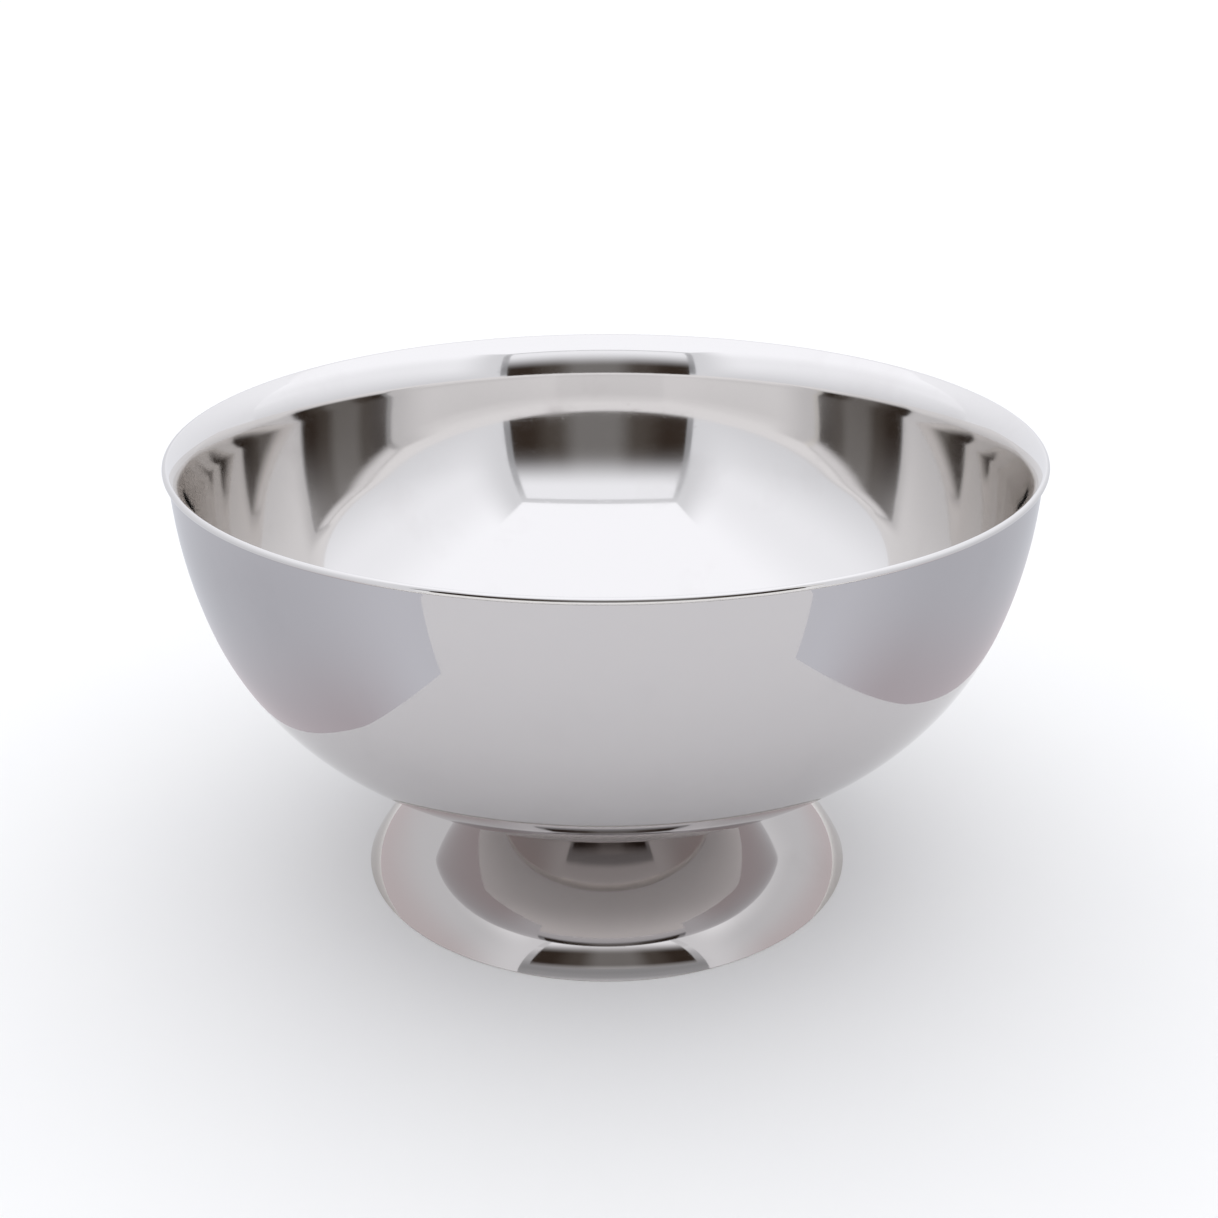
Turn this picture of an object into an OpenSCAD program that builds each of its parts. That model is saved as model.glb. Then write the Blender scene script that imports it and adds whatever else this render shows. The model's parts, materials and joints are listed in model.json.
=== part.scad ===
// Double-walled punch bowl on a domed pedestal, all of spun stainless steel.
// Millimetres. The bowl's axis is Z and the table it stands on is the plane Z = 0.

/* [Bowl] */
// Diameter over the lip's crisp outer edge
bowl_d = 380; // [360:5:400]
// Height of the lip's crisp edge above the table
rim_h = 205.8; // [202:0.2:210]
// How far the lip's edge stands out past the wall below it
lip_overhang = 2.3; // [2.1:0.1:3]
// Radius of the upper wall's curve
wall_r = 207; // [203:1:211]
// Angle below the rim where the upper wall meets the tighter curve
wall_a = 18; // [16:1:20]
// Radius of the tighter curve between wall and bottom
knuckle_r = 124.5; // [121:0.5:127]
// Angle below the rim where the tighter curve meets the bottom
knuckle_a = 58; // [57:0.5:59]
// Thickness of the two bowl sheets
sheet = 0.9; // [0.8:0.05:1]
// Angle below the rim where the liner's tighter curve meets its own, flatter bottom
liner_knuckle_a = 63; // [62:0.5:64]

/* [Lip] */
// Steepness of the lip just inside its crisp edge, in degrees
lip_a = 40; // [36:1:44]
// Radius of the lip's rounded upper part
lip_r = 20; // [17:0.5:21]
// Steepness where the upper part meets the long inner face
face_a = 70; // [67:1:72]
// Radius of the long inner face
face_r = 54; // [48:1:58]
// Steepness at the bend where the inner face meets the liner's wall
bend_slope = 83; // [82:0.5:84]

/* [Pedestal] */
// Diameter of the pedestal's edge on the table
foot_d = 228; // [220:1:235]
// Steepness at the edge, in degrees from the table
edge_a = 64; // [60:0.5:67]
// Radius of the curve that rises from the edge
edge_r = 39; // [36:0.5:42]
// Steepness where the edge curve meets the shoulder curve
shoulder_a = 39; // [37:0.5:42]
// Radius of the shoulder curve
shoulder_r = 62; // [58:1:68]
// Steepness where the shoulder curve meets the nearly straight flank
flank_a = 26.5; // [25.5:0.5:28]
// Radius of the flank, long enough to look like a cone
flank_r = 600; // [500:10:900]
// Thickness of the pedestal sheet
foot_sheet = 1; // [0.8:0.1:1.2]
// Width of the flat ring that rests on the table
rest_w = 6; // [4:0.5:8]

/* [Fastening] */
// Diameter of the stud that holds the pedestal
stud_d = 8; // [6:0.5:8]
// Thickness of the rubber ring between bowl and pedestal
gasket_t = 1; // [0.8:0.1:1.5]
// Diameter of the anchor disc inside the jacket
disc_d = 60; // [40:1:76]
// Thickness of the anchor disc
disc_t = 1.5; // [1.2:0.1:2]
// Diameter of the flat washer under the pedestal's top
washer_d = 30; // [24:1:34]
// Thickness of the flat washer
washer_t = 1.6; // [1.2:0.1:2]

/* [Hidden] */
$fn = 96;

// point on a circle about c in the r-z half plane, a in degrees below the horizontal
function on(c, r, a) = [c[0] + r * cos(a), c[1] - r * sin(a)];
// n + 1 points along an arc from a0 to a1; the first is left out when skip is 1
function arc(c, r, a0, a1, n, skip = 0) =
  [for (i = [skip:n]) on(c, r, a0 + (a1 - a0) * i / n)];
function rev(p) = [for (i = [len(p) - 1:-1:0]) p[i]];

// n points along a crown curve of radius r from p, as the steepness falls from s0 to s1
function crown(p, r, s0, s1, n) = [
  for (i = [1:n])
  let (s = s0 + (s1 - s0) * i / n)
  [p[0] - r * (sin(s0) - sin(s)), p[1] + r * (cos(s) - cos(s0))]
];
function last(p) = p[len(p) - 1];

// three tangent arcs give the outer surface of a bowl: wall, knuckle, bottom
body_r = bowl_d / 2 - lip_overhang;
c_wall = [body_r - wall_r, rim_h];
c_knuckle = on(c_wall, wall_r - knuckle_r, wall_a);
function base_r(ka) = knuckle_r + c_knuckle[0] / cos(ka);
function c_base(ka) = [0, c_knuckle[1] + (base_r(ka) - knuckle_r) * sin(ka)];

// a bowl's surface at a distance off inside the outer one, from angle a0 down to a1
function side(off, ka, a0, a1) = concat(
  arc(c_wall, wall_r - off, a0, wall_a, 6),
  arc(c_knuckle, knuckle_r - off, wall_a, ka, 9, 1),
  arc(c_base(ka), base_r(ka) - off, ka, a1, 10, 1)
);

// the flat seat at the bottom of the outer shell, where the pedestal is pulled up
seat_r = 42;
seat_a = acos(seat_r / base_r(knuckle_a));
seat_z = c_base(knuckle_a)[1] - base_r(knuckle_a) * sin(seat_a);
seat_top = c_base(knuckle_a)[1] - (base_r(knuckle_a) - sheet) * sin(seat_a);

// hem: the liner's edge folded round the outer shell's flared edge
fold_r = 1.5 * sheet;
fold_c = [bowl_d / 2 - fold_r, rim_h];
flare_a = lip_a + 5;
hem_end = [fold_c[0] - 0.35 * cos(flare_a), fold_c[1] - 0.35 * sin(flare_a)];
turn_r = 0.8;
flare_run = (fold_c[0] + sheet / 2 * sin(flare_a) - body_r) * tan(flare_a);
turn_drop = sheet / 2 * cos(flare_a) + flare_run + turn_r * tan(45 - flare_a / 2);
turn_c = [body_r + turn_r, rim_h - turn_drop];

// lip: a rounded upper part and a long inner face, both bulging towards the bowl's axis
function lip_centre(p, r, a) = [p[0] + r * sin(a), p[1] - r * cos(a)];
lip_c = lip_centre(on(fold_c, fold_r, -90 - lip_a), lip_r, lip_a);
face_c = lip_centre(on(lip_c, lip_r, -90 - face_a), face_r, face_a);
bend = on(face_c, face_r, -90 - bend_slope);
bend_reach = norm(bend - c_wall);
bend_a = asin((rim_h - bend[1]) / bend_reach);
liner_off = wall_r - bend_reach;
function lip_face(t) = concat(
  arc(lip_c, lip_r - t, -90 - lip_a, -90 - face_a, 8, 1),
  arc(face_c, face_r - t, -90 - face_a, -90 - bend_slope, 5, 1)
);

// pedestal outline: four tangent curves from the edge up to the flat plate
foot_r = foot_d / 2;
edge_z = 0.6;
plate_z = seat_z - gasket_t;
plate_turn = 6;
edge_top = last(crown([foot_r, edge_z], edge_r, edge_a, shoulder_a, 1));
shoulder_top = last(crown(edge_top, shoulder_r, shoulder_a, flank_a, 1));
flank_rise = plate_z - shoulder_top[1] - plate_turn + flank_r * cos(flank_a);
turn_a = acos(flank_rise / (flank_r - plate_turn));
flank_top = last(crown(shoulder_top, flank_r, flank_a, turn_a, 1));
function foot_curve(t) = concat(
  crown(off_by([foot_r, edge_z], t, edge_a), edge_r - t, edge_a, shoulder_a, 9),
  crown(off_by(edge_top, t, shoulder_a), shoulder_r - t, shoulder_a, flank_a, 5),
  crown(off_by(shoulder_top, t, flank_a), flank_r - t, flank_a, turn_a, 4),
  crown(off_by(flank_top, t, turn_a), plate_turn - t, turn_a, 0, 5)
);
// the point a distance t under p, square to a surface of steepness s
function off_by(p, t, s) = [p[0] - t * sin(s), p[1] - t * cos(s)];

// fastening stack, from the plate down
washer_z = plate_z - foot_sheet - washer_t;
lock_t = 0.25 * stud_d;
lock_z = washer_z - lock_t;
nut_t = 0.8 * stud_d;
nut_z = lock_z - nut_t;
nut_af = 1.625 * stud_d;
stud_end = nut_z - 0.4 * stud_d;
disc_top = seat_top + disc_t;
head_d = 2 * stud_d;
head_t = 1.2;

// inner bowl: folded edge, lip, bend and smooth bowl, in one spun sheet
module liner() {
  color([0.80, 0.80, 0.81])
  rotate_extrude()
  polygon(concat(
    [on(hem_end, fold_r, 90 - flare_a)],
    arc(fold_c, fold_r, 90 - flare_a, -90 - lip_a, 10),
    lip_face(0),
    side(liner_off, liner_knuckle_a, bend_a + 0.3, 90),
    rev(side(liner_off - sheet, liner_knuckle_a, bend_a + 0.3, 90)),
    rev(lip_face(sheet)),
    arc(fold_c, fold_r - sheet, -90 - lip_a, 90 - flare_a, 6),
    [on(hem_end, fold_r - sheet, 90 - flare_a)]
  ));
}

// outer bowl: flared edge inside the lip's fold, wall, and the flat seat with the stud's hole
module outer_shell() {
  color([0.74, 0.75, 0.77])
  rotate_extrude()
  polygon(concat(
    [on(fold_c, sheet / 2, -90 - flare_a), on(fold_c, sheet / 2, 90 - flare_a)],
    arc(turn_c, turn_r, -90 - flare_a, -180, 4),
    side(0, knuckle_a, 1, seat_a),
    [[stud_d / 2, seat_z], [stud_d / 2, seat_top]],
    rev(side(sheet, knuckle_a, 1, seat_a)),
    arc(turn_c, turn_r + sheet, -180, -90 - flare_a, 5)
  ));
}

// foot: turned-in resting ring, domed edge, flank and a flat plate with the stud's hole
module pedestal() {
  hole_r = stud_d / 2 + 0.2;
  color([0.70, 0.70, 0.71])
  rotate_extrude()
  polygon(concat(
    [[foot_r - rest_w, foot_sheet], [foot_r - rest_w, 0], [foot_r - 0.5, 0]],
    [[foot_r, edge_z]],
    foot_curve(0),
    [[hole_r, plate_z], [hole_r, plate_z - foot_sheet]],
    rev(foot_curve(foot_sheet)),
    [[foot_r - 1.3, foot_sheet]]
  ));
}

// disc brazed inside the outer shell's seat
module anchor_disc() {
  color([0.60, 0.62, 0.65])
  translate([0, 0, seat_top])
  difference() {
    cylinder(h = disc_t, d = disc_d);
    translate([0, 0, -1])
    cylinder(h = disc_t + 2, d = stud_d);
  }
}

// rubber ring on the disc that carries the liner's bottom
module spacer_pad() {
  pad_in = stud_d + 1.5;
  pad_out = disc_d / 2 - 3;
  under_r = base_r(liner_knuckle_a) - liner_off + sheet;
  a_in = acos(pad_in / under_r);
  a_out = acos(pad_out / under_r);
  color([0.15, 0.15, 0.16])
  rotate_extrude()
  polygon(concat(
    [[pad_out, disc_top], [pad_in, disc_top]],
    arc(c_base(liner_knuckle_a), under_r, a_in, a_out, 4)
  ));
}

// threaded stud with a flat weld head on the disc
module weld_stud() {
  chamfer = stud_d / 10;
  color([0.55, 0.57, 0.60])
  union() {
    translate([0, 0, disc_top])
    cylinder(h = head_t, d = head_d);
    translate([0, 0, stud_end + chamfer])
    cylinder(h = disc_top - stud_end - chamfer + head_t / 2, d = stud_d);
    translate([0, 0, stud_end])
    cylinder(h = chamfer, d1 = stud_d - 2 * chamfer, d2 = stud_d);
  }
}

// rubber sheet ring between the shell's seat and the pedestal's plate
module neck_gasket() {
  color([0.12, 0.12, 0.12])
  translate([0, 0, plate_z])
  difference() {
    cylinder(h = gasket_t, d = 2 * seat_r);
    translate([0, 0, -1])
    cylinder(h = gasket_t + 2, d = stud_d + 0.4);
  }
}

// flat washer under the plate
module flat_washer() {
  color([0.66, 0.67, 0.69])
  translate([0, 0, washer_z])
  difference() {
    cylinder(h = washer_t, d = washer_d);
    translate([0, 0, -1])
    cylinder(h = washer_t + 2, d = stud_d + 0.4);
  }
}

// split spring washer
module lock_washer() {
  split = lock_t / 2;
  color([0.58, 0.60, 0.62])
  translate([0, 0, lock_z])
  difference() {
    cylinder(h = lock_t, d = 1.85 * stud_d);
    translate([0, 0, -1])
    cylinder(h = lock_t + 2, d = stud_d + 0.2);
    translate([0, -split / 2, -1])
    cube([stud_d, split, lock_t + 2]);
  }
}

// hexagon nut with rounded-off corners, screwed onto the stud
module hex_nut() {
  corner_d = nut_af / cos(30);
  cut = 0.05 * stud_d;
  color([0.62, 0.63, 0.66])
  translate([0, 0, nut_z])
  difference() {
    intersection() {
      cylinder(h = nut_t, d = corner_d, $fn = 6);
      rotate_extrude()
      polygon([
        [0, 0], [nut_af / 2, 0], [corner_d / 2 + 0.1, cut * 1.6],
        [corner_d / 2 + 0.1, nut_t - cut * 1.6], [nut_af / 2, nut_t], [0, nut_t]
      ]);
    }
    translate([0, 0, -1])
    cylinder(h = nut_t + 2, d = stud_d);
  }
}

liner();
outer_shell();
pedestal();
anchor_disc();
spacer_pad();
weld_stud();
neck_gasket();
flat_washer();
lock_washer();
hex_nut();
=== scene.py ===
# %% [markdown]
# # A double-walled punch bowl in polished stainless steel
# This lesson builds the looks of a punch bowl around a model that already has its
# right sizes. Two steel bowls sit one inside the other with air between them, the
# inner one is rolled over the outer one at the lip, and a flared foot is pulled up
# against the bottom with a stud and a nut. Polished steel has almost no colour of
# its own: it shows whatever stands round it. So half of the work is the shape,
# because a mirror shows every kink, and the other half is what the mirror sees.

import json
import math

import bmesh
import bpy
from mathutils import Matrix, Vector

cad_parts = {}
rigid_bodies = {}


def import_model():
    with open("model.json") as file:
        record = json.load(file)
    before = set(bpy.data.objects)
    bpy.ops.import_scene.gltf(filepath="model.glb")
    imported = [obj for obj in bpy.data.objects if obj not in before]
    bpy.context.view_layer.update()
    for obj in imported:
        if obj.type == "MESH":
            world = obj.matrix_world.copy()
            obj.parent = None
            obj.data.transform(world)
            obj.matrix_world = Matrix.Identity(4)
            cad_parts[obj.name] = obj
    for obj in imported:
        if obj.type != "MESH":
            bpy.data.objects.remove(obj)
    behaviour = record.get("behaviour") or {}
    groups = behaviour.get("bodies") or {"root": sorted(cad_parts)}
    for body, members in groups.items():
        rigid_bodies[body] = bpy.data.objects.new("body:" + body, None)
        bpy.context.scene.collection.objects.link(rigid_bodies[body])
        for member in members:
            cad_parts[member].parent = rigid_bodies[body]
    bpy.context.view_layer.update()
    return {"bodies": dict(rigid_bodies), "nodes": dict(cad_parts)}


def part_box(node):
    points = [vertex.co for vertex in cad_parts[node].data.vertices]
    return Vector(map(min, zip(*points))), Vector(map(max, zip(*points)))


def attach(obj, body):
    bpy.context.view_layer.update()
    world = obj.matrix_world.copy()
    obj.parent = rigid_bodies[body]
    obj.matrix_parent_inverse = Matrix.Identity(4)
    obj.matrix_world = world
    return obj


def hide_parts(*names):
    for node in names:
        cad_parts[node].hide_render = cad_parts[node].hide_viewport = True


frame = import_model()
MM = 0.001
print("nodes:", sorted(frame["nodes"]))

# %% [markdown]
# ## Sizes that everything else follows
# The sized model is made of flat facets. That is fine for weighing and dropping it,
# but a mirror would show each facet as a stripe. The three big pieces are therefore
# spun again here, much more finely, on the same sizes. The outer sizes are read from
# the model, so the new pieces can't drift away from it.

# %% Read the outer sizes, in millimetres
lip_r = max(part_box("liner")[1].xy) / MM
lip_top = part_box("liner")[1].z / MM
foot_r = max(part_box("pedestal")[1].xy) / MM
plate_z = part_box("pedestal")[1].z / MM
gasket_low, gasket_high = (corner.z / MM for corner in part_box("neck_gasket"))
SHEET = 0.9
fold_r = 1.5 * SHEET
rim_z = lip_top - fold_r
seat_z = gasket_high
seat_r = max(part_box("neck_gasket")[1].xy) / MM
print(f"lip radius {lip_r:.2f}, lip top {lip_top:.2f}, foot radius {foot_r:.2f}")
print(f"foot plate at {plate_z:.2f}, seat at {seat_z:.2f} with radius {seat_r:.2f}")

# %% [markdown]
# ## Drawing half a section
# A spun bowl is the same all the way round, so only half of its section is needed:
# a chain of points that give a distance from the axis and a height. Each curve is a
# circular arc, and arcs that follow one another share a tangent. A polished bowl
# would show a break between them as a sharp change in the reflections. The points
# are spaced evenly, at most two millimetres apart, so that shading stays even too.

# %% Arcs for the half section
def on_circle(centre, radius, below):
    """A point on a circle, with the angle given in degrees below the horizontal."""
    angle = math.radians(below)
    return (centre[0] + radius * math.cos(angle), centre[1] - radius * math.sin(angle))


def arc(centre, radius, start, end, longest=2.0, skip=0):
    """Evenly spaced points along an arc, from one angle to another."""
    length = abs(math.radians(end - start)) * radius
    count = max(2, math.ceil(length / longest))
    turn = (end - start) / count
    return [on_circle(centre, radius, start + turn * i) for i in range(skip, count + 1)]


print("quarter circle:", len(arc((0, 0), 100, 0, 90)), "points")

# %% The bowl's side: upper wall, tighter knuckle and flatter bottom
LIP_OVERHANG = 2.3
WALL_R, WALL_END = 207.0, 18.0
KNUCKLE_R = 124.5
SHELL_KNUCKLE, LINER_KNUCKLE = 58.0, 63.0
body_r = lip_r - LIP_OVERHANG
wall_c = (body_r - WALL_R, rim_z)
knuckle_c = on_circle(wall_c, WALL_R - KNUCKLE_R, WALL_END)


def bottom_of(knuckle_end):
    """Radius and centre of the bottom arc that follows the knuckle without a break."""
    radius = KNUCKLE_R + knuckle_c[0] / math.cos(math.radians(knuckle_end))
    drop = (radius - KNUCKLE_R) * math.sin(math.radians(knuckle_end))
    return radius, (0.0, knuckle_c[1] + drop)


def bowl_side(inset, knuckle_end, start, end):
    """One face of a bowl sheet, inset by some millimetres from the outer shell's face."""
    bottom_r, bottom_c = bottom_of(knuckle_end)
    points = arc(wall_c, WALL_R - inset, start, WALL_END)
    points += arc(knuckle_c, KNUCKLE_R - inset, WALL_END, knuckle_end, skip=1)
    return points + arc(bottom_c, bottom_r - inset, knuckle_end, end, skip=1)


side = bowl_side(0, SHELL_KNUCKLE, 1, 90)
print(f"side: {len(side)} points, widest {side[0][0]:.1f}, lowest {side[-1][1]:.1f}")

# %% [markdown]
# ## Spinning a section into a piece
# The real bowls were pressed over a wooden or steel form on a lathe, and the spin
# operator does the same job: it carries the half section once round the axis. The
# first and last copies fall on each other and are merged, and so are the points that
# lie on the axis. A sharp corner of the section has to stay sharp, so each edge that
# turns by more than 25 degrees is marked, and all the others are shaded smooth.

# %% Spin a section, then finish the mesh
def finish_piece(name, mesh, sharp_above=25):
    """Turns a bmesh into an object with its place in its mesh."""
    bmesh.ops.remove_doubles(mesh, verts=mesh.verts[:], dist=0.004 * MM)
    bmesh.ops.recalc_face_normals(mesh, faces=mesh.faces[:])
    for face in mesh.faces:
        face.smooth = True
    for edge in mesh.edges:
        edge.smooth = edge.calc_face_angle(0) < math.radians(sharp_above)
    data = bpy.data.meshes.new(name)
    mesh.to_mesh(data)
    mesh.free()
    piece = bpy.data.objects.new(name, data)
    bpy.context.scene.collection.objects.link(piece)
    return piece


def spin_chain(mesh, points, steps, closed, turn=360.0, rise=0.0):
    """Carries a chain of (radius, height) points in millimetres round the axis."""
    corners = [mesh.verts.new((r * MM, 0, z * MM)) for r, z in points]
    pairs = list(zip(corners, corners[1:]))
    if closed:
        pairs.append((corners[-1], corners[0]))
    edges = [mesh.edges.new(pair) for pair in pairs]
    bmesh.ops.spin(
        mesh, geom=corners + edges, cent=(0, 0, 0), axis=(0, 0, 1),
        angle=math.radians(turn), steps=steps, dvec=(0, 0, rise * MM / steps),
        use_merge=turn == 360.0, use_duplicate=False,
    )


def spun_piece(name, points, steps=200, closed=True):
    """A whole ring or bowl from its half section."""
    mesh = bmesh.new()
    spin_chain(mesh, points, steps, closed)
    piece = finish_piece(name, mesh)
    print(f"{name}: {len(points)} points, {len(piece.data.polygons)} faces")
    return piece


# %% [markdown]
# ## The inner bowl and its lip
# The lip is the part people notice. Its outer edge is crisp, and from there it rolls
# inwards and down: quickly at first, then in a long, steep inner face about twenty
# millimetres deep, to a bend where the wall of the inner bowl starts. At the edge the
# sheet is folded back on itself over the flared edge of the outer bowl. That is how
# two bowls are joined without a visible weld. The section runs from the middle of the
# bowl up to the lip, round the fold and back underneath, so the sheet has its real
# thickness and its real edge.

# %% Section of the inner bowl
LIP_A, FACE_A, BEND_A = 40.0, 70.0, 83.0
LIP_R, FACE_R = 20.0, 54.0
fold_c = (lip_r - fold_r, rim_z)
flare = LIP_A + 5


def curve_centre(point, radius, steepness):
    """Centre of a curve that leaves a point with a given steepness, bulging inwards."""
    return on_circle(point, radius, 90 - steepness)


lip_c = curve_centre(on_circle(fold_c, fold_r, -90 - LIP_A), LIP_R, LIP_A)
face_c = curve_centre(on_circle(lip_c, LIP_R, -90 - FACE_A), FACE_R, FACE_A)
bend = on_circle(face_c, FACE_R, -90 - BEND_A)
bend_reach = math.dist(bend, wall_c)
bend_angle = math.degrees(math.asin((rim_z - bend[1]) / bend_reach))
INNER_INSET = WALL_R - bend_reach


def lip_face(inset):
    """The lip from its edge down to the bend, or its underside with an inset."""
    upper = arc(lip_c, LIP_R - inset, -90 - LIP_A, -90 - FACE_A, longest=0.5)
    lower = arc(face_c, FACE_R - inset, -90 - FACE_A, -90 - BEND_A, longest=0.9, skip=1)
    return upper[1:] + lower


hem = on_circle((0, 0), 0.35, 180 - flare)
fold_out = arc(fold_c, fold_r, 90 - flare, -90 - LIP_A, longest=0.22)
fold_in = arc(fold_c, fold_r - SHEET, 90 - flare, -90 - LIP_A, longest=0.3)
top_face = bowl_side(INNER_INSET, LINER_KNUCKLE, bend_angle + 0.3, 90)
under_face = bowl_side(INNER_INSET - SHEET, LINER_KNUCKLE, bend_angle + 0.3, 90)

inner_section = top_face[::-1] + lip_face(0)[::-1] + fold_out[::-1]
inner_section += [(p[0] + hem[0], p[1] + hem[1]) for p in (fold_out[0], fold_in[0])]
inner_section += fold_in + lip_face(SHEET) + under_face
print(f"bend at {bend[0]:.1f}, {bend[1]:.1f}, jacket {INNER_INSET - 2 * SHEET:.2f} wide")

# %% Spin the inner bowl
inner_bowl = spun_piece("inner_bowl", inner_section, closed=False)

# %% [markdown]
# ## The outer bowl
# Its edge is flared outwards, and the fold of the lip grips it. Its bottom is pressed
# flat in a ring where the foot is pulled against it, which nobody sees from above.
# The same side function gives its two faces, one sheet thickness apart.

# %% Section of the outer bowl
turn_r = 0.8
slant = math.radians(flare)
flare_run = (fold_c[0] + SHEET / 2 * math.sin(slant) - body_r) * math.tan(slant)
turn_drop = SHEET / 2 * math.cos(slant) + flare_run
turn_drop += turn_r * math.tan(math.radians(45) - slant / 2)
turn_c = (body_r + turn_r, rim_z - turn_drop)
shell_r, shell_c = bottom_of(SHELL_KNUCKLE)
seat_angle = math.degrees(math.acos(seat_r / shell_r))
seat_inside = shell_c[1] - (shell_r - SHEET) * math.sin(math.radians(seat_angle))
stud_r = 4.0

outer_section = [on_circle(fold_c, SHEET / 2, a) for a in (-90 - flare, 90 - flare)]
outer_section += arc(turn_c, turn_r, -90 - flare, -180, longest=0.2)
outer_section += bowl_side(0, SHELL_KNUCKLE, 1, seat_angle)
outer_section += [(stud_r, seat_z), (stud_r, seat_inside)]
outer_section += bowl_side(SHEET, SHELL_KNUCKLE, 1, seat_angle)[::-1]
outer_section += arc(turn_c, turn_r + SHEET, -180, -90 - flare, longest=0.4)
outer_bowl = spun_piece("outer_bowl", outer_section)

# %% [markdown]
# ## The foot
# The foot flares like the bell of a horn that has been pushed down: steep at the
# table, then flatter and flatter, and at the end nearly straight, like a cone. It is
# drawn by its steepness instead of by circle centres, because that is how one would
# judge it with a template: 64 degrees at the edge, 39, 26.5 and 22 further in. Every
# curve starts where the last one stopped and with the same steepness.

# %% Section of the foot
FOOT_SHEET = 1.0
EDGE_Z = 0.6
PLATE_TURN = 6.0
FOOT_CURVES = [(39.0, 64.0, 39.0), (62.0, 39.0, 26.5)]
FLANK_R, FLANK_START = 600.0, 26.5


def crown(point, radius, start, end, inset=0.0, longest=1.5):
    """Points along a curve whose steepness falls from start to end, in degrees."""
    count = max(4, math.ceil(radius * math.radians(start - end) / longest))
    centre = (
        point[0] - radius * math.sin(math.radians(start)),
        point[1] - radius * math.cos(math.radians(start)),
    )
    radius -= inset
    angles = [math.radians(start + (end - start) * i / count) for i in range(count + 1)]
    return [(centre[0] + radius * math.sin(a), centre[1] + radius * math.cos(a)) for a in angles]


def foot_face(inset):
    """The foot's outer face, or with an inset its inner face, from the edge inwards."""
    place, points = (foot_r, EDGE_Z), []
    for radius, start, end in FOOT_CURVES:
        points += crown(place, radius, start, end, inset)
        place = crown(place, radius, start, end)[-1]
    rise = plate_z - place[1] - PLATE_TURN + FLANK_R * math.cos(math.radians(FLANK_START))
    flank_end = math.degrees(math.acos(rise / (FLANK_R - PLATE_TURN)))
    points += crown(place, FLANK_R, FLANK_START, flank_end, inset)
    place = crown(place, FLANK_R, FLANK_START, flank_end)[-1]
    points += crown(place, PLATE_TURN, flank_end, 0, inset, longest=0.4)
    distinct = [points[0]]
    for point in points[1:]:
        if math.dist(point, distinct[-1]) > 0.01:
            distinct.append(point)
    return distinct


hole_r = stud_r + 0.2
foot_section = [(foot_r - 6, FOOT_SHEET), (foot_r - 6, 0), (foot_r - 0.5, 0)]
foot_section += foot_face(0)
foot_section += [(hole_r, plate_z), (hole_r, plate_z - FOOT_SHEET)]
foot_section += foot_face(FOOT_SHEET)[::-1]
foot_section += [(foot_r - 1.3, FOOT_SHEET)]
foot = spun_piece("foot", foot_section)

# %% [markdown]
# ## Fasteners under the foot
# Turned over, the bowl shows a rubber ring, a wide washer, a split spring washer and
# a nut on a threaded stud. Each is small, but their rounded edges catch the light.
# A washer is punched, so its edges are slightly round. The section of each ring is a
# rectangle with eased corners, spun like the bowls.

# %% Rings: rubber gasket and flat washer
def towards(start, end, distance):
    """The point at some distance from start on the way to end."""
    share = distance / math.dist(start, end)
    return tuple(a + (b - a) * share for a, b in zip(start, end))


def eased(before, corner, after, reach, steps=5):
    """A small rounding in place of a corner: a curve that leaves both sides smoothly."""
    start, end = towards(corner, before, reach), towards(corner, after, reach)
    return [
        tuple(
            (1 - t) ** 2 * s + 2 * t * (1 - t) * c + t * t * e
            for s, c, e in zip(start, corner, end)
        )
        for t in (i / steps for i in range(steps + 1))
    ]


def ring_section(inner, outer, low, high, ease):
    """A rectangular section with its four corners eased."""
    square = [(inner, low), (outer, low), (outer, high), (inner, high)]
    points = []
    for i, corner in enumerate(square):
        points += eased(square[i - 1], corner, square[(i + 1) % 4], ease, steps=3)
    return points


washer_low, washer_high = (corner.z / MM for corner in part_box("flat_washer"))
washer_r = max(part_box("flat_washer")[1].xy) / MM
gasket = spun_piece(
    "gasket", ring_section(hole_r, seat_r, gasket_low, gasket_high, 0.2), steps=128
)
washer = spun_piece(
    "washer", ring_section(hole_r, washer_r, washer_low, washer_high, 0.25), steps=128
)

# %% [markdown]
# A spring washer is a bar of square steel wound into one turn and cut, with the two
# ends slightly apart. The spin operator can climb while it turns, which gives exactly
# that, and the open ends are closed with one face each.

# %% Spring washer
lock_low, lock_high = (corner.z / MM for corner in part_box("lock_washer"))
lock_r = max(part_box("lock_washer")[1].xy) / MM
climb = 0.25
mesh = bmesh.new()
wire = ring_section(stud_r + 0.1, lock_r, lock_low, lock_high - climb, 0.2)
spin_chain(mesh, wire, 96, True, turn=352.0, rise=climb)
bmesh.ops.holes_fill(mesh, edges=[e for e in mesh.edges if e.is_boundary], sides=0)
spring_washer = finish_piece("spring_washer", mesh)
print(f"spring washer: radius {lock_r:.1f}, {lock_low:.1f} to {lock_high:.1f}")

# %% [markdown]
# The nut starts as a round ring. Each outer point is then pushed to the flat of a
# hexagon that lies in its direction, but never past a cone at the top and bottom.
# Where the hexagon's corners meet that cone they get the curved chamfer of a real nut.

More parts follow.
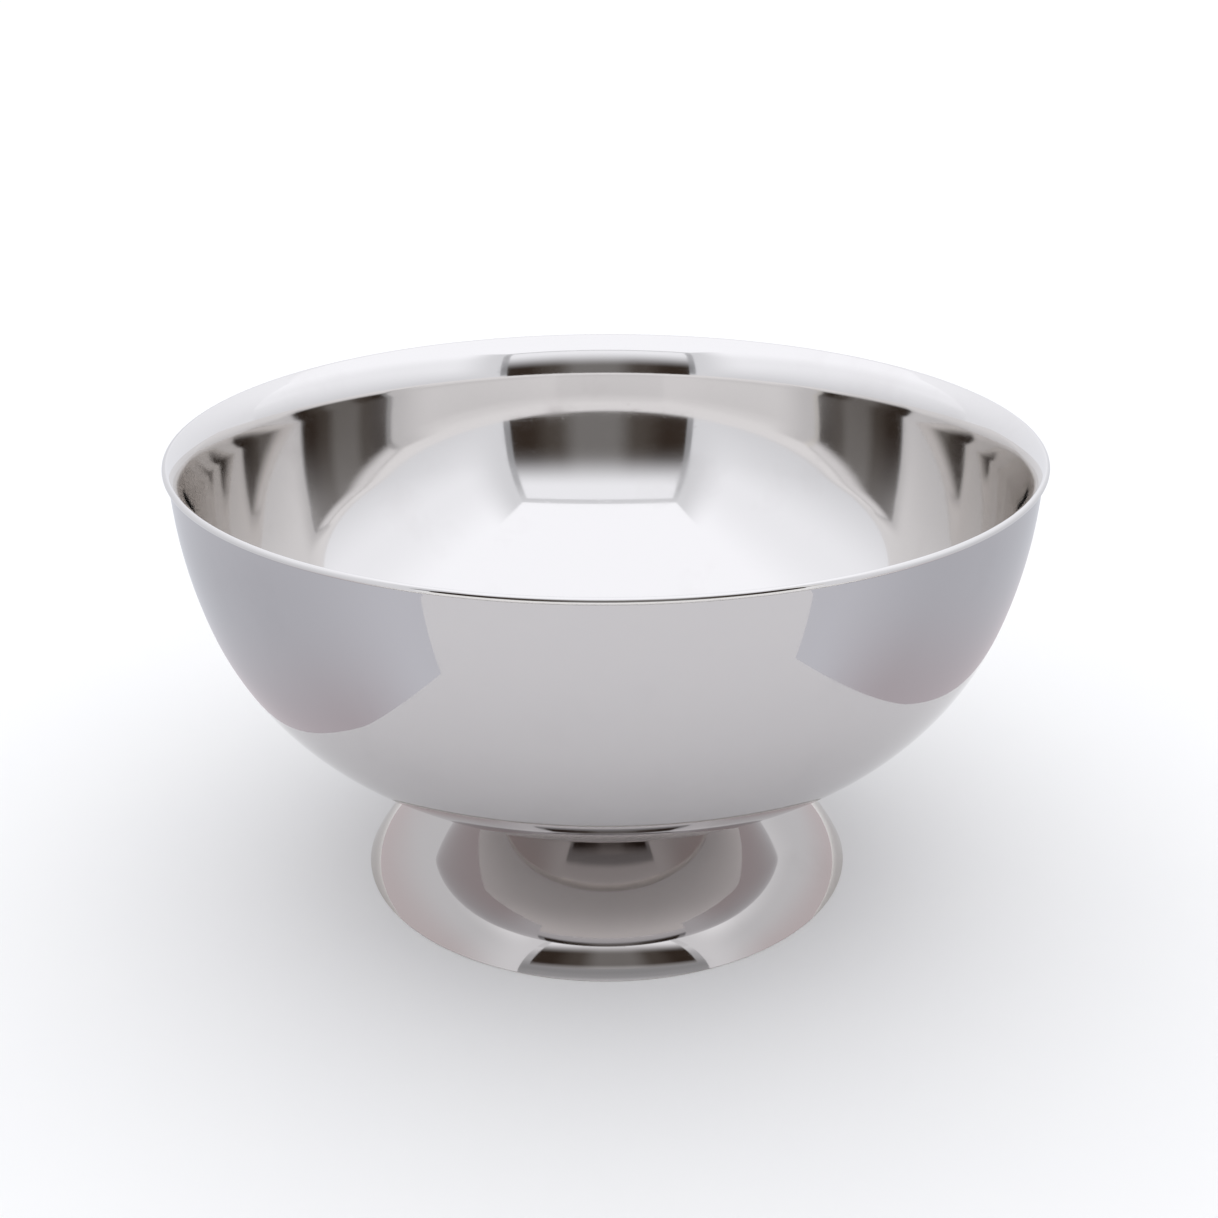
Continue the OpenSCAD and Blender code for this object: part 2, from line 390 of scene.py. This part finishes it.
# %% Hexagon nut
nut_low, nut_high = (corner.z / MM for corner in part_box("hex_nut"))
nut_flat = 6.5
mesh = bmesh.new()
heights = [0, 0.12, 0.25, 0.4, 0.6, 0.9, 2.0, 3.2]
half = (nut_high - nut_low) / 2
outline = [(stud_r + 0.05, nut_low), (nut_flat - 0.4, nut_low)]
outline += [(nut_flat, nut_low + h) for h in heights]
outline += [(nut_flat, nut_high - h) for h in reversed(heights[:-1])]
outline += [(nut_flat - 0.4, nut_high), (stud_r + 0.05, nut_high)]
spin_chain(mesh, outline, 96, True)
bmesh.ops.remove_doubles(mesh, verts=mesh.verts[:], dist=0.004 * MM)
for corner in mesh.verts:
    reach = corner.co.xy.length / MM
    if reach > nut_flat - 0.1:
        turn = math.atan2(corner.co.y, corner.co.x) % math.radians(60)
        flat = nut_flat / math.cos(turn - math.radians(30))
        from_end = min(corner.co.z / MM - nut_low, nut_high - corner.co.z / MM)
        cone = nut_flat - 0.05 + from_end * 1.73
        corner.co.xy *= min(flat, cone) / reach
nut = finish_piece("nut", mesh)
print(f"nut: {nut_low:.1f} to {nut_high:.1f}, {len(nut.data.polygons)} faces")

# %% [markdown]
# The stud is a turned bar with a thread rolled onto it. The core is spun first. The
# thread is one V-shaped ridge that climbs 1.25 mm in each turn, again with the spin
# operator, and it fades into the bar above the nut where nobody sees it.

# %% Threaded stud with its weld head
stud_low, stud_high = (corner.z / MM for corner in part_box("weld_stud"))
PITCH = 1.25
core_r = stud_r - 0.65
mesh = bmesh.new()
bar = [(0, stud_low), (core_r - 0.5, stud_low), (core_r, stud_low + 0.5)]
bar += [(core_r, plate_z), (stud_r, plate_z + 0.6), (stud_r, stud_high - 1.2)]
bar += [(8.0, stud_high - 1.2), (8.0, stud_high - 0.2), (7.8, stud_high), (0, stud_high)]
spin_chain(mesh, bar, 64, False)
turns = math.floor((plate_z - stud_low - 1.2) / PITCH)
ridge = [
    (core_r, stud_low + 0.5), (stud_r, stud_low + 0.95),
    (stud_r, stud_low + 1.1), (core_r, stud_low + 1.6),
]
spin_chain(mesh, ridge, 48 * turns, False, turn=360.0001 * turns, rise=PITCH * turns)
stud = finish_piece("stud", mesh)
print(f"stud: {stud_low:.1f} to {stud_high:.1f}, {turns} turns of thread")

# %% [markdown]
# ## Which CAD piece each new piece stands for
# All pieces belong to one rigid body. Each new piece rides on it, stands in for its
# rough version in the sized model, and names the finish it takes.

# %% Attach the pieces
STANDS_FOR = {
    "liner": (inner_bowl, "liner_steel"),
    "outer_shell": (outer_bowl, "shell_steel"),
    "pedestal": (foot, "pedestal_steel"),
    "neck_gasket": (gasket, "gasket_rubber"),
    "flat_washer": (washer, "washer_steel"),
    "lock_washer": (spring_washer, "spring_steel"),
    "hex_nut": (nut, "nut_steel"),
    "weld_stud": (stud, "stud_steel"),
}
BODY = list(frame["bodies"])[0]
for node, (piece, finish) in STANDS_FOR.items():
    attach(piece, BODY)
    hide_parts(node)
print("body:", BODY, "- pieces:", len(STANDS_FOR))

# %% [markdown]
# ## Tools for the materials
# Colours are written as the hex values a paint program shows and turned into the
# linear numbers that light is reckoned in. A second small function adds one node with
# its settings and its links, so that each material below reads as a list of nodes.

# %% Colour and node helpers
def hex_colour(code):
    """A hex colour such as "c9c5c1" as linear red, green, blue and alpha."""
    parts = [int(code[i : i + 2], 16) / 255 for i in (0, 2, 4)]
    linear = [p / 12.92 if p <= 0.04045 else ((p + 0.055) / 1.055) ** 2.4 for p in parts]
    return (*linear, 1.0)


def add(tree, kind, settings=None, links=None):
    """Adds a node. A setting or link is named by its socket or by the node's property."""
    node = tree.nodes.new(kind)
    for key, value in (settings or {}).items():
        if isinstance(key, str) and hasattr(node, key):
            setattr(node, key, value)
        else:
            node.inputs[key].default_value = value
    for key, source in (links or {}).items():
        tree.links.new(source, node.inputs[key])
    return node


def empty_material(name):
    """A material whose tree holds nothing yet."""
    material = bpy.data.materials.new(name)
    material.use_nodes = True
    material.node_tree.nodes.clear()
    return material, material.node_tree


print("example colour:", [round(c, 3) for c in hex_colour("c9c5c1")])

# %% [markdown]
# ## Spun and polished stainless steel
# The sheet is an austenitic stainless steel. Spinning leaves broad, very shallow
# rings, and the polishing wheel leaves fine ones a few tenths of a millimetre apart.
# Both run round the axis. A pattern that depends only on the distance from the axis
# and the height makes rings on any spun shape, with no seam, so those two numbers go
# into a noise texture. On top come hairline scratches from washing, and smudges from
# hands, which change the gloss far more than the colour. The waviness is measured in
# micrometres: a mirror shows slopes, and a slope of one in a thousand is plenty.
# The finest lines are drawn at 0.7 mm, coarser than real ones, so that they show.

# %% Build the polished steel
FINE_MM, DENT_MM, PATCH_MM, HAIR_MM = 0.7, 45, 60, 20
RING_SHARE = 0.008


def polished_steel(name, pale, dull, gloss, ring_mm, wave_um, seed):
    """Polished sheet: two colours, a low and high roughness, ring spacing and waviness."""
    material, tree = empty_material(name)
    place = add(tree, "ShaderNodeTexCoord").outputs["Object"]
    flat = add(
        tree, "ShaderNodeVectorMath", {"operation": "MULTIPLY", 1: (1, 1, 0)}, {0: place}
    )
    away = add(tree, "ShaderNodeVectorMath", {"operation": "LENGTH"}, {0: flat.outputs[0]})
    parts = add(tree, "ShaderNodeSeparateXYZ", links={0: place})
    drift = add(tree, "ShaderNodeTexNoise", {"Scale": 9.0, "Detail": 1.0}, {"Vector": place})
    sway = add(
        tree, "ShaderNodeMath", {"operation": "MULTIPLY", 1: 0.006}, {0: drift.outputs[0]}
    )
    ring = add(
        tree, "ShaderNodeCombineXYZ", None,
        {"X": away.outputs["Value"], "Y": parts.outputs["Z"], "Z": sway.outputs[0]},
    ).outputs[0]
    fine = add(
        tree, "ShaderNodeTexNoise",
        {"Scale": 1 / (FINE_MM * MM), "Detail": 2.0}, {"Vector": ring},
    )
    broad = add(
        tree, "ShaderNodeTexNoise", {"Scale": 1 / (ring_mm * MM), "Detail": 0.0},
        {"Vector": ring},
    )
    shifted = add(
        tree, "ShaderNodeMapping", {"Location": (seed, seed * 0.7, -seed)}, {"Vector": place}
    ).outputs[0]
    dents = add(
        tree, "ShaderNodeTexNoise", {"Scale": 1 / (DENT_MM * MM), "Detail": 1.0},
        {"Vector": shifted},
    )
    # hairlines: the thin places where a stretched noise passes through its middle value
    stretched = add(
        tree, "ShaderNodeMapping",
        {"Rotation": (0.5, 0.9, 0.3), "Scale": (1.0, 9.0, 1.6)}, {"Vector": shifted},
    ).outputs[0]
    hair = add(
        tree, "ShaderNodeTexNoise", {"Scale": 1 / (HAIR_MM * MM), "Detail": 3.0},
        {"Vector": stretched},
    )
    middle = add(
        tree, "ShaderNodeMath", {"operation": "SUBTRACT", 1: 0.5}, {0: hair.outputs[0]}
    )
    size = add(tree, "ShaderNodeMath", {"operation": "ABSOLUTE"}, {0: middle.outputs[0]})
    scratch = add(
        tree, "ShaderNodeMapRange",
        {"From Min": 0.0, "From Max": 0.006, "To Min": 1.0, "To Max": 0.0},
        {"Value": size.outputs[0]},
    )
    # smudges: soft patches about three centimetres wide, broken up inside
    patch = add(
        tree, "ShaderNodeTexNoise",
        {"Scale": 1 / (PATCH_MM * MM), "Detail": 4.0, "Roughness": 0.62}, {"Vector": shifted},
    )
    smudge = add(
        tree, "ShaderNodeMapRange",
        {"From Min": 0.56, "From Max": 0.74, "To Min": 0.0, "To Max": 1.0},
        {"Value": patch.outputs[0]},
    )
    lines = add(
        tree, "ShaderNodeMath", {"operation": "MULTIPLY_ADD", 1: 0.05, 2: gloss[0] - 0.025},
        {0: fine.outputs[0]},
    )
    hazy = add(
        tree, "ShaderNodeMath", {"operation": "MULTIPLY_ADD", 1: gloss[1] - gloss[0]},
        {0: smudge.outputs[0], 2: lines.outputs[0]},
    )
    rough = add(
        tree, "ShaderNodeMath", {"operation": "MULTIPLY_ADD", 1: 0.06, "use_clamp": True},
        {0: scratch.outputs[0], 2: hazy.outputs[0]},
    )
    worn = add(
        tree, "ShaderNodeMath", {"operation": "MULTIPLY", 1: 0.5}, {0: smudge.outputs[0]}
    )
    tint = add(
        tree, "ShaderNodeMix",
        {"data_type": "RGBA", 6: hex_colour(pale), 7: hex_colour(dull)},
        {0: worn.outputs[0]},
    )
    waves = add(
        tree, "ShaderNodeBump", {"Strength": 1.0, "Distance": wave_um * 1e-6},
        {"Height": dents.outputs[0]},
    )
    rings = add(
        tree, "ShaderNodeBump", {"Strength": 1.0, "Distance": wave_um * RING_SHARE * 1e-6},
        {"Height": broad.outputs[0], "Normal": waves.outputs[0]},
    )
    brushed = add(
        tree, "ShaderNodeBump", {"Strength": 1.0, "Distance": 0.5e-6},
        {"Height": fine.outputs[0], "Normal": rings.outputs[0]},
    )
    steel = add(
        tree, "ShaderNodeBsdfPrincipled", {"Metallic": 1.0},
        {
            "Base Color": tint.outputs[2],
            "Roughness": rough.outputs[0],
            "Normal": brushed.outputs[0],
        },
    )
    add(tree, "ShaderNodeOutputMaterial", None, {"Surface": steel.outputs[0]})
    return material


# The inner bowl's steel is paler than the outside's. This is painted light: the paler colour
# brightens the many reflections between its walls.
lining = polished_steel("spun_steel_lining_painted_lighter", "dfdcd9", "d7d3d0", (0.05, 0.10), 6, 6, 3.1)
outside = polished_steel("spun_steel_outside", "c2bfc0", "bcb9ba", (0.035, 0.09), 6, 16, 7.7)
foot_steel = polished_steel("spun_steel_foot", "d2cdc9", "c9c4bf", (0.045, 0.10), 5, 12, 1.4)
print("polished steels:", lining.name, outside.name, foot_steel.name)

# %% [markdown]
# ## Steel that was cut, rolled or plated
# The small parts are bought in. The washer is blanked from bright sheet and tumbled,
# the nut and the stud are cold formed and have a satin look, and the spring washer is
# oil-blackened spring steel. Tumbling and forming leave a fine grain in all
# directions, so these use plain noise and a higher roughness than the polished sheet.

# %% Build the fastener steels
def formed_steel(name, pale, dark, rough_low, rough_high, grain_mm):
    """Satin metal with an even grain, which also sets its roughness, and slightly darker worn
    places.
    """
    material, tree = empty_material(name)
    place = add(tree, "ShaderNodeTexCoord").outputs["Object"]
    grain = add(
        tree, "ShaderNodeTexNoise", {"Scale": 1 / (grain_mm * MM), "Detail": 3.0},
        {"Vector": place},
    )
    wear = add(
        tree, "ShaderNodeTexNoise", {"Scale": 1 / (7 * MM), "Detail": 2.0}, {"Vector": place}
    )
    tint = add(
        tree, "ShaderNodeMix",
        {"data_type": "RGBA", 6: hex_colour(pale), 7: hex_colour(dark)},
        {0: wear.outputs[0]},
    )
    rough = add(
        tree, "ShaderNodeMapRange", {"To Min": rough_low, "To Max": rough_high},
        {"Value": grain.outputs[0]},
    )
    bump = add(
        tree, "ShaderNodeBump", {"Strength": 0.6, "Distance": 0.01 * MM},
        {"Height": grain.outputs[0]},
    )
    metal = add(
        tree, "ShaderNodeBsdfPrincipled", {"Metallic": 1.0},
        {
            "Base Color": tint.outputs[2],
            "Roughness": rough.outputs[0],
            "Normal": bump.outputs[0],
        },
    )
    add(tree, "ShaderNodeOutputMaterial", None, {"Surface": metal.outputs[0]})
    return material


bright_washer = formed_steel("tumbled_steel_washer", "c8c6c3", "aeaba7", 0.2, 0.34, 0.5)
plated_nut = formed_steel("cold_formed_steel_nut", "bdbab5", "9d9a95", 0.25, 0.42, 0.35)
rolled_stud = formed_steel("rolled_steel_stud", "b3b0ab", "8f8c87", 0.28, 0.45, 0.3)
black_spring = formed_steel("blackened_spring_steel", "6a6864", "494744", 0.35, 0.5, 0.4)
brazed_disc = formed_steel("pickled_steel_disc", "b0aeaa", "96938f", 0.4, 0.55, 0.6)

# %% [markdown]
# ## Rubber
# The ring between bowl and foot is black EPDM rubber, and the pad inside the jacket is
# grey silicone. Both are moulded, so they have a faint pebble, a soft broad sheen and
# no metal in them. Dust makes them paler in places.

# %% Build the rubbers
def moulded_rubber(name, deep, dusty, pebble_mm):
    """Matt rubber with a faint pebble and a little dust."""
    material, tree = empty_material(name)
    place = add(tree, "ShaderNodeTexCoord").outputs["Object"]
    pebble = add(
        tree, "ShaderNodeTexNoise", {"Scale": 1 / (pebble_mm * MM), "Detail": 2.0},
        {"Vector": place},
    )
    dust = add(
        tree, "ShaderNodeTexNoise", {"Scale": 1 / (12 * MM), "Detail": 4.0}, {"Vector": place}
    )
    tint = add(
        tree, "ShaderNodeMix",
        {"data_type": "RGBA", 6: hex_colour(deep), 7: hex_colour(dusty)},
        {0: dust.outputs[0]},
    )
    rough = add(
        tree, "ShaderNodeMapRange", {"To Min": 0.55, "To Max": 0.8},
        {"Value": pebble.outputs[0]},
    )
    bump = add(
        tree, "ShaderNodeBump", {"Strength": 0.5, "Distance": 0.05 * MM},
        {"Height": pebble.outputs[0]},
    )
    rubber = add(
        tree, "ShaderNodeBsdfPrincipled", {"IOR": 1.52},
        {
            "Base Color": tint.outputs[2],
            "Roughness": rough.outputs[0],
            "Normal": bump.outputs[0],
        },
    )
    add(tree, "ShaderNodeOutputMaterial", None, {"Surface": rubber.outputs[0]})
    return material


black_rubber = moulded_rubber("black_epdm_rubber", "161616", "2b2a29", 0.8)
grey_silicone = moulded_rubber("grey_silicone_rubber", "5c5e60", "777879", 1.0)

# %% Give every piece its finish
for piece, material in {
    inner_bowl: lining,
    outer_bowl: outside,
    foot: foot_steel,
    gasket: black_rubber,
    washer: bright_washer,
    spring_washer: black_spring,
    nut: plated_nut,
    stud: rolled_stud,
}.items():
    piece.data.materials.append(material)

for node, material in {"anchor_disc": brazed_disc, "spacer_pad": grey_silicone}.items():
    for holder in frame["nodes"][node].material_slots:
        holder.material = material
print("finishes:", sorted(m.name for m in bpy.data.materials if m.users))

# %% [markdown]
# ## What the steel looks at
# A mirror bowl is best shown inside a tent of white cloth, open only at the front
# where the camera looks in. Every tone on the steel is a part of that tent: pale
# side walls, a bright top, and the dim room seen through the opening, which gives the
# soft dark shapes inside the bowl. The tent here is a handful of glowing cards that
# the camera itself can't see. Each card's glow changes with height, because cloth is
# brightest near the lamps above it, and the side walls also fade towards the opening.

# %% Glowing cards
def grey(level, coolness=0.045):
    """A linear grey of some brightness, slightly blue like daylight through cloth."""
    return (level * (1 - coolness), level * (1 - coolness / 2), level * (1 + coolness), 1.0)


def share(amount):
    """A stop that says how far a glow has faded: 0 is not at all, 1 is wholly."""
    return (amount, amount, amount, 1.0)


def ramp_along(tree, axis, low, high, stops):
    """A colour that follows stops of (position, colour) along one axis, low to high."""
    place = add(tree, "ShaderNodeTexCoord").outputs["Object"]
    parts = add(tree, "ShaderNodeSeparateXYZ", links={0: place})
    along_axis = add(
        tree, "ShaderNodeMapRange", {"From Min": low * MM, "From Max": high * MM},
        {"Value": parts.outputs[axis]},
    )
    ramp = add(tree, "ShaderNodeValToRGB", {}, {0: along_axis.outputs[0]})
    bar = ramp.color_ramp
    bar.interpolation = "EASE"
    bar.elements[0].position, bar.elements[0].color = stops[0]
    bar.elements[1].position, bar.elements[1].color = stops[-1]
    for position, colour in stops[1:-1]:
        bar.elements.new(position).color = colour
    return ramp.outputs[0]


def glow(name, first, fade=None, far=None):
    """A glow that follows a ramp. With a second ramp, it fades to a far colour."""
    material, tree = empty_material(name)
    colour = ramp_along(tree, *first)
    if fade:
        colour = add(
            tree, "ShaderNodeMix", {"data_type": "RGBA", 7: far},
            {0: ramp_along(tree, *fade), 6: colour},
        ).outputs[2]
    light = add(tree, "ShaderNodeEmission", {"Strength": 1.0}, {"Color": colour})
    add(tree, "ShaderNodeOutputMaterial", None, {"Surface": light.outputs[0]})
    return material


def card(name, corner, across, up, material):
    """A flat card from a corner and its two sides, in millimetres."""
    corner, across, up = (Vector(v) * MM for v in (corner, across, up))
    normal = across.cross(up).normalized()
    place = Matrix((across, up, normal)).transposed().to_4x4()
    place.translation = corner + (across + up) / 2
    mesh = bmesh.new()
    bmesh.ops.create_grid(mesh, x_segments=1, y_segments=1, size=0.5, matrix=place)
    data = bpy.data.meshes.new(name)
    mesh.to_mesh(data)
    mesh.free()
    data.materials.append(material)
    made = bpy.data.objects.new(name, data)
    bpy.context.scene.collection.objects.link(made)
    made.visible_camera = False
    made.visible_diffuse = False
    made.visible_shadow = False
    return made


# %% The tent: side walls, back wall and top
LEFT, RIGHT, FRONT, BACK, TOP = -207, 252, -310, 330, 560
WIDE, DEEP = RIGHT - LEFT, BACK - FRONT
NONE, FULL = share(0.0), share(1.0)
FADE_DEPTH = 190
MAUVE = hex_colour("d3ccd1")
side_cloth = glow(
    "white_cloth_side",
    (2, 0, TOP, [(0.0, MAUVE), (0.25, grey(0.74)), (0.6, grey(1.15)), (1.0, grey(1.3))]),
    (1, FRONT, FRONT + FADE_DEPTH, [(0.0, FULL), (0.15, FULL), (1.0, NONE)]), grey(0.9),
)
back_cloth = glow("white_cloth_back", (2, 0, TOP, [(0.0, grey(0.85)), (1.0, grey(1.2))]))
top_cloth = glow("white_cloth_top", (2, 0, TOP, [(0.0, grey(1.3)), (1.0, grey(1.3))]))
card("tent_left", (LEFT, FRONT, 0), (0, DEEP, 0), (0, 0, TOP), side_cloth)
card("tent_right", (RIGHT, FRONT, 0), (0, DEEP, 0), (0, 0, TOP), side_cloth)
card("tent_back", (LEFT, BACK, 0), (WIDE, 0, 0), (0, 0, TOP), back_cloth)
card("tent_top", (LEFT, FRONT, TOP), (WIDE, 0, 0), (0, DEEP, 0), top_cloth)
print(f"tent {WIDE} x {DEEP} x {TOP} mm")

# %% The opening: darkest at its sides, and fading into the bright top
OPEN_Y, OPEN_LOW = -345, 150
DARK = hex_colour("382f29")
WARM = hex_colour("524c48")
DIM = hex_colour("7e7c7c")
SOME = share(0.25)
opening = glow(
    "opening_shade",
    (0, LEFT, RIGHT, [
        (0.0, DARK), (0.12, DARK), (0.28, WARM), (0.42, DIM), (0.58, DIM),
        (0.72, WARM), (0.88, DARK), (1.0, DARK),
    ]),
    (2, OPEN_LOW, 500, [(0.0, SOME), (0.1, NONE), (0.4, NONE), (0.95, FULL), (1.0, FULL)]),
    grey(1.15),
)
card("opening", (LEFT, OPEN_Y, OPEN_LOW), (WIDE, 0, 0), (0, 0, TOP - OPEN_LOW), opening)
print("opening from", OPEN_LOW, "to", TOP, "mm high")

# %% The room in front of the tent
ROOM_Y, ROOM_HALF, ROOM_TOP, CEILING_DEEP = -900, 900, 1200, 590
room = glow(
    "dim_room", (2, 0, ROOM_TOP, [
        (0.0, grey(1.0)), (0.20, grey(0.85)), (0.26, grey(0.4)),
        (0.34, grey(0.35)), (0.6, grey(0.55)), (1.0, grey(0.9)),
    ]),
)
room_top = glow("room_ceiling", (2, 0, ROOM_TOP, [(0.0, grey(0.8)), (1.0, grey(0.8))]))
room_wide = (2 * ROOM_HALF, 0, 0)
card("room_wall", (-ROOM_HALF, ROOM_Y, 0), room_wide, (0, 0, ROOM_TOP), room)
card("room_ceiling", (-ROOM_HALF, ROOM_Y, ROOM_TOP), room_wide, (0, CEILING_DEEP, 0), room_top)
print(f"room {room_wide[0]} mm wide, {ROOM_TOP} mm high")

# %% [markdown]
# ## Floor and surrounding light
# The table is a matt white sheet. It is the largest thing the outside of the bowl
# reflects, so its paleness sets how bright the lower half of the bowl looks. A faint
# mottling keeps it from looking like a void. The surround is bright overhead and dim
# near the horizon, so the bowl throws a soft shadow under itself.

# %% Table and world
sheet_matt, tree = empty_material("matt_white_sheet")
place = add(tree, "ShaderNodeTexCoord").outputs["Object"]
mottle = add(
    tree, "ShaderNodeTexNoise", {"Scale": 1 / (90 * MM), "Detail": 3.0}, {"Vector": place}
)
tint = add(
    tree, "ShaderNodeMix",
    {"data_type": "RGBA", 6: hex_colour("f4f4f4"), 7: hex_colour("f2f2f3")},
    {0: mottle.outputs[0]},
)
paper = add(
    tree, "ShaderNodeBsdfPrincipled", {"Roughness": 0.9, "Specular IOR Level": 0.0},
    {"Base Color": tint.outputs[2]},
)
add(tree, "ShaderNodeOutputMaterial", None, {"Surface": paper.outputs[0]})
HALF = 20000
table = card("table", (-HALF, -HALF, 0), (2 * HALF, 0, 0), (0, 2 * HALF, 0), sheet_matt)
table.visible_camera = table.visible_diffuse = table.visible_shadow = True

world = bpy.data.worlds.new("soft_white_surround")
bpy.context.scene.world = world
world.use_nodes = True
sky = world.node_tree
toward = add(sky, "ShaderNodeTexCoord").outputs["Generated"]
height = add(sky, "ShaderNodeSeparateXYZ", links={0: toward}).outputs["Z"]
level = add(sky, "ShaderNodeMapRange", {"To Min": 0.55, "To Max": 1.5}, {"Value": height})
surround = sky.nodes["Background"]
surround.inputs["Color"].default_value = grey(1.0, 0.012)
sky.links.new(level.outputs[0], surround.inputs["Strength"])
print("surround: dim at the horizon, bright overhead")

# %% [markdown]
# ## Camera
# The camera stands seventy-one centimetres from the bowl's axis and about twenty-two
# centimetres above its lip, looking down by about 23 degrees. So near, the front of
# the lip looks clearly larger than the back, which a longer lens from further away
# would hide.

# %% Camera
FOCAL_MM, TILT, ROLL = 49.58, 67.30, -0.10
CAMERA_Y, ABOVE_RIM = -710.2, 215.4
lens = bpy.data.cameras.new("camera")
lens.sensor_width = 36
lens.lens = FOCAL_MM
camera = bpy.data.objects.new("camera", lens)
bpy.context.scene.collection.objects.link(camera)
roll = Matrix.Rotation(math.radians(ROLL), 4, "Z")
turned = roll @ Matrix.Rotation(math.radians(TILT), 4, "X") @ roll
stand = Vector((0, CAMERA_Y, rim_z + ABOVE_RIM)) * MM
camera.matrix_world = Matrix.Translation(stand) @ turned
scene = bpy.context.scene
scene.camera = camera

# light keeps bouncing between the walls of a mirror bowl, and plain display of tones
# keeps the highlights of the steel as bright as they are
scene.view_settings.view_transform = "Standard"
scene.cycles.glossy_bounces = 12
scene.cycles.max_bounces = 16
print("camera at", [round(v / MM) for v in stand])
